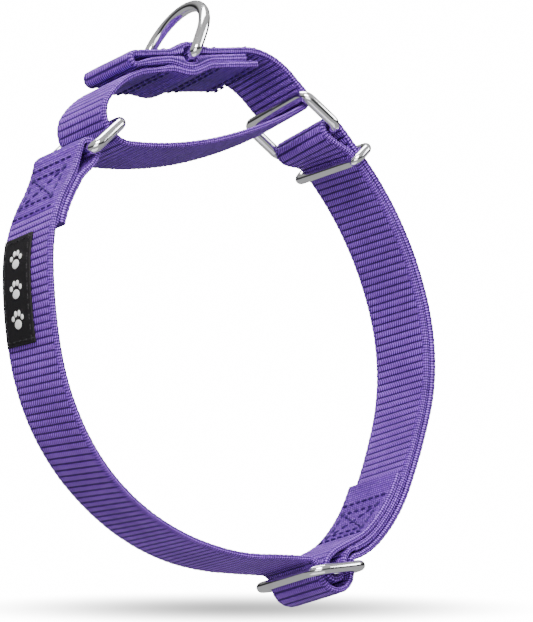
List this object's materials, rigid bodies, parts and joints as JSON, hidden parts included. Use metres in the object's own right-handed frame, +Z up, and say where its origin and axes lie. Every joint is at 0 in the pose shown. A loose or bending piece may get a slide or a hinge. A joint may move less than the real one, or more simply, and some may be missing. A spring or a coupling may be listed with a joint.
{
  "type": "martingale collar",
  "caption": "Webbing dog collar with an adjustable neck strap, a slider, rectangular rings and a control loop that carries a D-shaped leash ring",
  "frame": {"origin": "middle of the neck opening", "axes": "+Z up, with the control loop at the top; +Y through the neck opening, away from the side the collar is seen from; +X to the side with the keeper. The collar leans back about X"},
  "size_m": [0.1499, 0.0703, 0.1848],
  "materials": {
    "webbing": "ribbed weave",
    "wire": "polished",
    "label": "matt",
    "thread": "satin"
  },
  "bodies": {
    "neck": {"neck_strap": "webbing", "slider_frame": "wire", "slider_bar": "wire", "label_patch": "label", "label_thread": "thread", "left_box_thread": "thread", "tab_box_thread": "thread"},
    "loop": {"control_loop": "webbing", "loop_thread_left": "thread", "loop_thread_middle": "thread", "loop_thread_right": "thread"},
    "left_side_ring": {"left_ring": "wire"},
    "right_side_ring": {"right_ring": "wire"},
    "keeper": {"keeper_loop": "wire"},
    "leash": {"leash_ring": "wire"}
  },
  "joints": [
    {"name": "loop_draw", "type": "slide", "parent": "neck", "child": "loop", "axis": [0, -0.299, -0.9542], "range_m": [0, 0.005]},
    {"name": "left_ring_turn", "type": "hinge", "parent": "neck", "child": "left_side_ring", "pos_m": [-0.05215, 0.01132, 0.05979], "axis": [0, -0.9641, 0.2656], "range_deg": [-22, 0]},
    {"name": "right_ring_turn", "type": "hinge", "parent": "neck", "child": "right_side_ring", "pos_m": [0.04397, 0.01661, 0.06501], "axis": [0, -0.9432, 0.3322], "range_deg": [0, 25.5]},
    {"name": "keeper_slide", "type": "hinge", "parent": "neck", "child": "keeper", "pos_m": [-0.02476, 0.00269, 0.00243], "axis": [0, -0.9767, 0.2147], "range_deg": [-26, 0]},
    {"name": "leash_ring_swing", "type": "hinge", "parent": "loop", "child": "leash", "pos_m": [-0.007, 0.02167, 0.08777], "axis": [0, -0.9553, 0.2956], "range_deg": [-26, 90]}
  ],
  "couplings": [
    {"joint": "left_ring_turn", "follows": "loop_draw", "rad_per_m": -75.7},
    {"joint": "right_ring_turn", "follows": "loop_draw", "rad_per_m": 88}
  ]
}
